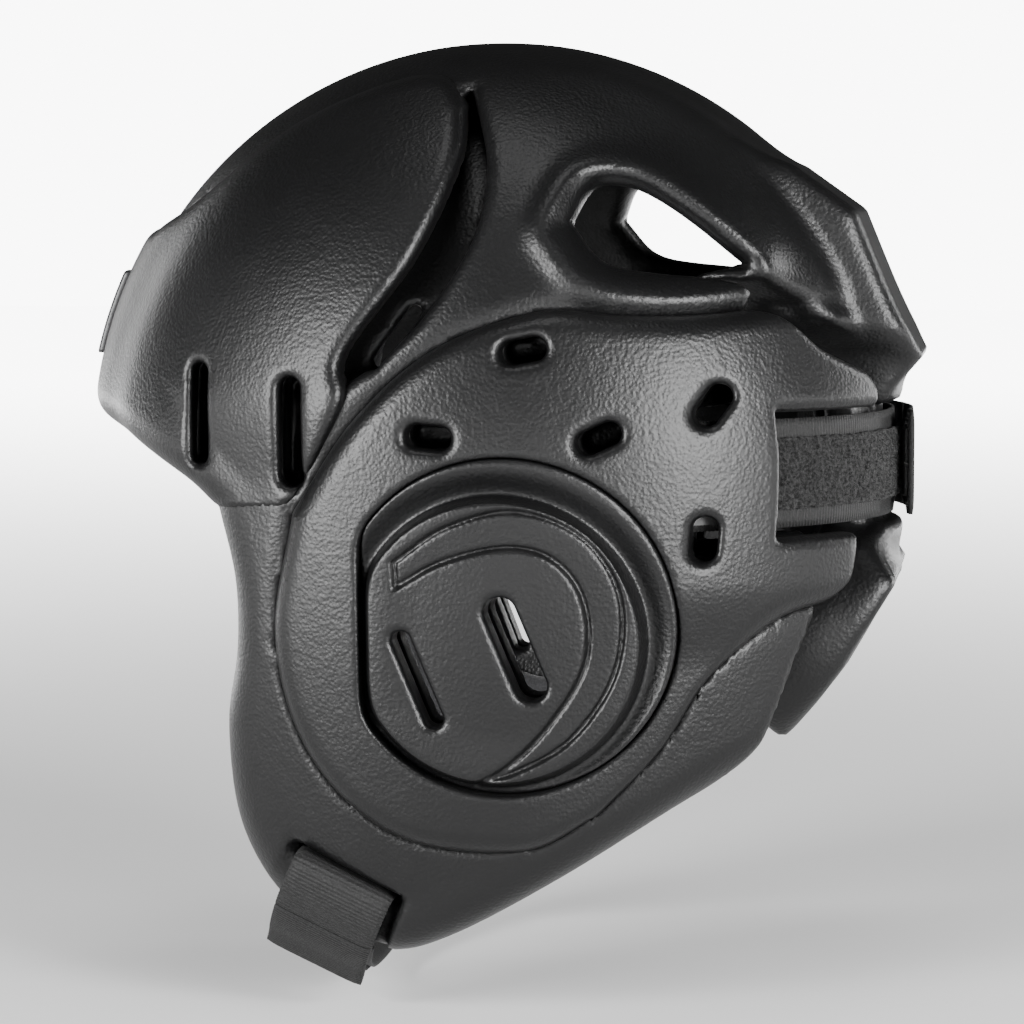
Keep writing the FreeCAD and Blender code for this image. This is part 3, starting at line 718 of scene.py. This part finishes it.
def even(line, step):
    """The line again with stations step apart."""
    gap = np.linalg.norm(np.diff(line, axis=0), axis=1)
    along = np.concatenate([[0.0], np.cumsum(gap)])
    count = max(4, int(along[-1] / step))
    at = np.linspace(0.0, along[-1], count + 1)
    return np.column_stack([np.interp(at, along, line[:, i]) for i in range(2)]), at


def ribbon(name, line, place, width, thick, material, ribs=0.0, pile=0.0, seed=1, flare=0.0):
    """A strap layer swept along a line: ribbed webbing or a fuzzy pile, with softened edges."""
    rng = np.random.default_rng(seed)
    points, at = even(line, (0.29 if ribs else 0.55) * COARSE)
    tangent = np.gradient(points, axis=0)
    tangent /= np.linalg.norm(tangent, axis=1)[:, None]
    normal = np.column_stack([tangent[:, 1], -tangent[:, 0]])
    if normal[len(normal) // 2] @ points[len(points) // 2] < 0:
        normal = -normal
    cells = 14 if ribs else max(10, int(width / 0.8))
    share = np.linspace(-1.0, 1.0, cells + 1)
    verts, faces = [], []
    ring = 2 * (cells + 1)
    for i, (q, n, s) in enumerate(zip(points, normal, at)):
        wave = ribs * abs(math.sin(math.pi * s / RIB))
        lift = flare * max(0.0, 1.0 - (at[-1] - s) / 9.0) ** 2
        half = width / 2.0 - 0.25 + 0.9 * wave + (rng.uniform(-0.3, 0.3) if pile else 0.0)
        for face in (1.0, -1.0):
            for u in (share if face > 0 else share[::-1]):
                soft = 1.0 - 0.45 * abs(u) ** 8
                out = face * (thick / 2.0 - 0.18) * soft + face * wave * soft + lift
                if pile and face > 0:
                    out += rng.uniform(-pile, pile)
                verts.append(place(q + n * out, u * half))
        if i:
            a, b = (i - 1) * ring, i * ring
            for j in range(ring):
                k = (j + 1) % ring
                faces.append((a + j, a + k, b + k, b + j))
    last = (len(points) - 1) * ring
    for j in range(cells):
        faces.append((j + 1, j, ring - 1 - j, ring - 2 - j))
        faces.append((last + j, last + j + 1, last + ring - 2 - j, last + ring - 1 - j))
    item = add_mesh(name, verts, faces, material)
    item.data.validate()
    return item


def stitches(name, spots, place, count, width, length):
    """A row of short thread bars across a strap at each (point, outward direction) spot."""
    verts, faces = [], []
    sides = 6
    for q, n in spots:
        for w in np.linspace(-width / 2, width / 2, count):
            base = len(verts)
            for end, sink in ((-0.5, 0.35), (-0.25, 0.0), (0.25, 0.0), (0.5, 0.35)):
                for k in range(sides):
                    a = 2 * math.pi * k / sides
                    out = 0.32 * math.cos(a) - sink
                    aside = np.array([n[1], -n[0]]) * 0.32 * math.sin(a)
                    verts.append(place(q + n * out + aside, w + end * length))
            for r in range(3):
                for k in range(sides):
                    a, b = base + r * sides, base + (r + 1) * sides
                    faces.append((a + k, a + (k + 1) % sides, b + (k + 1) % sides, b + k))
            faces.append(tuple(base + k for k in range(sides))[::-1])
            faces.append(tuple(base + 3 * sides + k for k in range(sides)))
    return add_mesh(name, verts, faces, THREAD)


def fibres(name, line, place, width, count, seed, reach=1.0, at_end=False):
    """Fine loops of pile that stand off a layer, or frayed threads past its end."""
    rng = np.random.default_rng(seed)
    verts, faces = [], []
    for _ in range(count):
        i = len(line) - 2 if at_end else int(rng.integers(1, len(line) - 1))
        t = line[i + 1] - line[i - 1]
        t = t / np.linalg.norm(t)
        n = np.array([t[1], -t[0]])
        n = n if n @ line[i] > 0 else -n
        w = rng.uniform(-width / 2, width / 2)
        along, high = rng.uniform(-1.0, 1.0) * reach, rng.uniform(0.35, 1.0) * reach
        sway = rng.uniform(-0.8, 0.8)
        if at_end:
            along, high = rng.uniform(0.5, 2.6), rng.uniform(-1.2, 1.2)
        base = len(verts)
        for k in range(5):
            u = k / 4.0
            rise = high * u if at_end else high * math.sin(math.pi * (0.1 + 0.85 * u))
            q = line[i] + t * along * u + n * rise
            for turn in range(3):
                a = 2.0 * math.pi * turn / 3.0
                ring = (n * math.cos(a) + t * math.sin(a)) * 0.07
                verts.append(place(q + ring, w + sway * u + 0.05 * math.cos(a)))
        for k in range(4):
            for turn in range(3):
                a, b = base + 3 * k, base + 3 * (k + 1)
                faces.append((a + turn, a + (turn + 1) % 3, b + (turn + 1) % 3, b + turn))
        faces.append((base + 2, base + 1, base))
        faces.append((base + 12, base + 13, base + 14))
    return add_mesh(name, verts, faces, LOOP)


def spot(line, at):
    """The point on a line at a share of its length, and the direction away from the head there."""
    i = int(at * (len(line) - 1))
    i = min(max(i, 1), len(line) - 2)
    t = line[i + 1] - line[i - 1]
    n = np.array([t[1], -t[0]]) / np.linalg.norm(t)
    return line[i], n if n @ line[i] > 0 else -n


# middle of each rear layer, as grow of the form
MID_LEFT, MID_LOOP, MID_HOOK, MID_TAB = -4.0, -2.1, -0.1, 1.5
piece = ribbon("rear_webbing_left", rear_line(MID_LEFT, -25, 82), rear_place, WEB, THICK, WEBBING, ribs=0.30)
finish_piece(piece, "root", "webbing", "rear_strap_left")
piece = ribbon("rear_loop_pile", rear_line(MID_LOOP, -24, 68), rear_place, 20.0, 2.0, LOOP, pile=0.5, seed=2)
finish_piece(piece, "root", "loop_pile", "rear_loop_patch")
outer_line = rear_line(MID_TAB, -82, -20.8)
piece = ribbon("rear_webbing_right", outer_line, rear_place, WEB, THICK, WEBBING, ribs=0.26)
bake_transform(piece)
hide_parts("rear_strap_right_end", "rear_strap_right")
tab_line = rear_line(MID_TAB, -19.2, 15)
piece = ribbon("rear_tab_webbing", tab_line, rear_place, WEB, THICK, WEBBING, ribs=0.26, flare=2.2)
finish_piece(piece, "rear_tab", "webbing", "rear_strap_tab")
hook_line = rear_line(MID_HOOK, -16, 14)
piece = ribbon("rear_hook_tape", hook_line, rear_place, 20.0, 1.4, HOOK, pile=0.15, seed=3, flare=2.2)
finish_piece(piece, "rear_tab", "hook_tape", "rear_hook_patch")
top_line = rear_line(MID_TAB + THICK / 2.0, -19.2, 15)
piece = fibres("rear_loop_fibres", rear_line(MID_LOOP + 0.9, -23, 67), rear_place, 19.0, 1500, 11)
finish_piece(piece, "root", "loop_pile")
piece = fibres("rear_tab_fray", rear_line(MID_TAB + 1.4, 0, 14.6), rear_place, 28.0, 110, 12, at_end=True)
finish_piece(piece, "rear_tab", "loop_pile")
piece = stitches("rear_tab_stitches", [spot(top_line, 0.06), spot(top_line, 0.12)], rear_place, 9, 25.0, 2.2)
finish_piece(piece, "rear_tab", "webbing")

OVER = 6.4                          # middle of the chin strap's upper webbing, as grow of its ellipse
stub = [(-73.0, 0.4), (-71.0, 0.6), (-66.0, 0.5), (-60.5, 0.5)]
right_line = np.vstack([chin_line(0.9, 32.6, 176.0), stub])
piece = ribbon("chin_webbing_right", right_line, chin_place, WEB, THICK - 0.1, WEBBING, ribs=0.10)
finish_piece(piece, "root", "webbing", "chin_strap_right")
piece = ribbon("chin_loop_pile", chin_line(2.8, 36.5, 105.2), chin_place, 26.0, 2.0, LOOP, pile=0.5, seed=4)
finish_piece(piece, "root", "loop_pile", "chin_loop_patch")
piece = fibres("chin_loop_fibres", chin_line(3.7, 37.0, 104.0), chin_place, 25.0, 1500, 13)
finish_piece(piece, "root", "loop_pile")
bend = [(60.5, 0.0), (70.0, 0.0), (75.6, -0.1), (77.7, -0.8), (78.6, -2.2)]
drop = chin_line(OVER, 4.5, 24.0)
left_line = np.vstack([spline(bend)[:-1], drop])
piece = ribbon("chin_webbing_left", left_line, chin_place, WEB, THICK, WEBBING, ribs=0.30)
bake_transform(piece)
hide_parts("chin_strap_left_end", "chin_strap_left")
fold_line = chin_line(OVER, 25.3, 50.7)
piece = ribbon("chin_tab_webbing", fold_line, chin_place, WEB, THICK, WEBBING, ribs=0.30, flare=1.6)
finish_piece(piece, "chin_tab", "webbing", "chin_strap_tab")
piece = fibres("chin_tab_fray", chin_line(OVER + 0.6, 40.0, 50.5), chin_place, 28.0, 80, 14, at_end=True)
finish_piece(piece, "chin_tab", "loop_pile")
piece = ribbon("chin_hook_tape", chin_line(4.8, 30.5, 48.5), chin_place, 20.0, 1.4, HOOK, pile=0.15, seed=5)
finish_piece(piece, "chin_tab", "hook_tape", "chin_hook_patch")

for cad in ("rear_anchor_left", "rear_anchor_right", "chin_anchor_left", "chin_anchor_right"):
    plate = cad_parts[cad]
    plate.data.materials.clear()
    plate.data.materials.append(PLATE)

# ------------------------------------------------------------------ floor, light and camera
ground = CAD_BOX[0][2] - 0.004
floor_mesh = bpy.data.meshes.new("floor")
SPAN = 6.0
corners = [(SPAN * x, SPAN * y, ground) for x, y in ((-1, -1), (1, -1), (1, 1), (-1, 1))]
floor_mesh.from_pydata(corners, [], [(0, 1, 2, 3)])
floor = bpy.data.objects.new("floor", floor_mesh)
bpy.context.scene.collection.objects.link(floor)
pale = bpy.data.materials.new("pale_floor")
pale.use_nodes = True
tree = pale.node_tree
floor_shader = tree.nodes["Principled BSDF"]
floor_shader.inputs["Base Color"].default_value = (0.8, 0.8, 0.8, 1.0)
floor_shader.inputs["Roughness"].default_value = 0.9
floor_shader.inputs["Emission Color"].default_value = (1.0, 1.0, 1.0, 1.0)
place = tree.nodes.new("ShaderNodeTexCoord")
reach = tree.nodes.new("ShaderNodeVectorMath")
reach.operation = "LENGTH"
glow = tree.nodes.new("ShaderNodeMapRange")
glow.interpolation_type = "SMOOTHSTEP"
glow.inputs["From Min"].default_value, glow.inputs["From Max"].default_value = 0.2, 3.6
glow.inputs["To Min"].default_value, glow.inputs["To Max"].default_value = 0.10, 8.5
tree.links.new(place.outputs["Object"], reach.inputs[0])
tree.links.new(reach.outputs["Value"], glow.inputs["Value"])
tree.links.new(glow.outputs["Result"], floor_shader.inputs["Emission Strength"])
floor_mesh.materials.append(pale)

TARGET = Vector((0.0, -0.003, 0.033))


def area_light(name, place, width, tall, power):
    data = bpy.data.lights.new(name, "AREA")
    data.shape = "RECTANGLE"
    data.size, data.size_y, data.energy = width, tall, power
    item = bpy.data.objects.new(name, data)
    item.location = place
    item.rotation_euler = (TARGET - Vector(place)).to_track_quat("-Z", "Y").to_euler()
    bpy.context.scene.collection.objects.link(item)


area_light("key_front", (1.05, -0.85, 0.20), 0.45, 0.8, 50.0)
area_light("key_back", (0.95, 1.05, 0.25), 0.45, 0.8, 50.0)
area_light("rim_front", (-0.9, -1.1, 0.10), 0.4, 1.0, 7.0)
area_light("rim_back", (-0.8, 1.2, 0.20), 0.4, 1.0, 14.0)
area_light("top", (0.3, 0.0, 1.4), 0.5, 0.5, 4.0)

world = bpy.data.worlds.new("studio")
bpy.context.scene.world = world
world.use_nodes = True
back = world.node_tree.nodes["Background"]
path = world.node_tree.nodes.new("ShaderNodeLightPath")
level = world.node_tree.nodes.new("ShaderNodeMapRange")
level.inputs["To Min"].default_value = 0.03
level.inputs["To Max"].default_value = 9.0
world.node_tree.links.new(path.outputs["Is Camera Ray"], level.inputs["Value"])
world.node_tree.links.new(level.outputs["Result"], back.inputs["Strength"])
back.inputs["Color"].default_value = (1.0, 1.0, 1.0, 1.0)

AZIMUTH, ELEVATION, DISTANCE = math.radians(98.0), math.radians(5.0), 1.1
level_out = math.cos(ELEVATION)
away = Vector((math.sin(AZIMUTH) * level_out, -math.cos(AZIMUTH) * level_out, math.sin(ELEVATION)))
camera_data = bpy.data.cameras.new("camera")
camera_data.lens = 131.5
camera = bpy.data.objects.new("camera", camera_data)
camera.location = TARGET + DISTANCE * away
camera.rotation_euler = (-away).to_track_quat("-Z", "Y").to_euler()
bpy.context.scene.collection.objects.link(camera)
bpy.context.scene.camera = camera
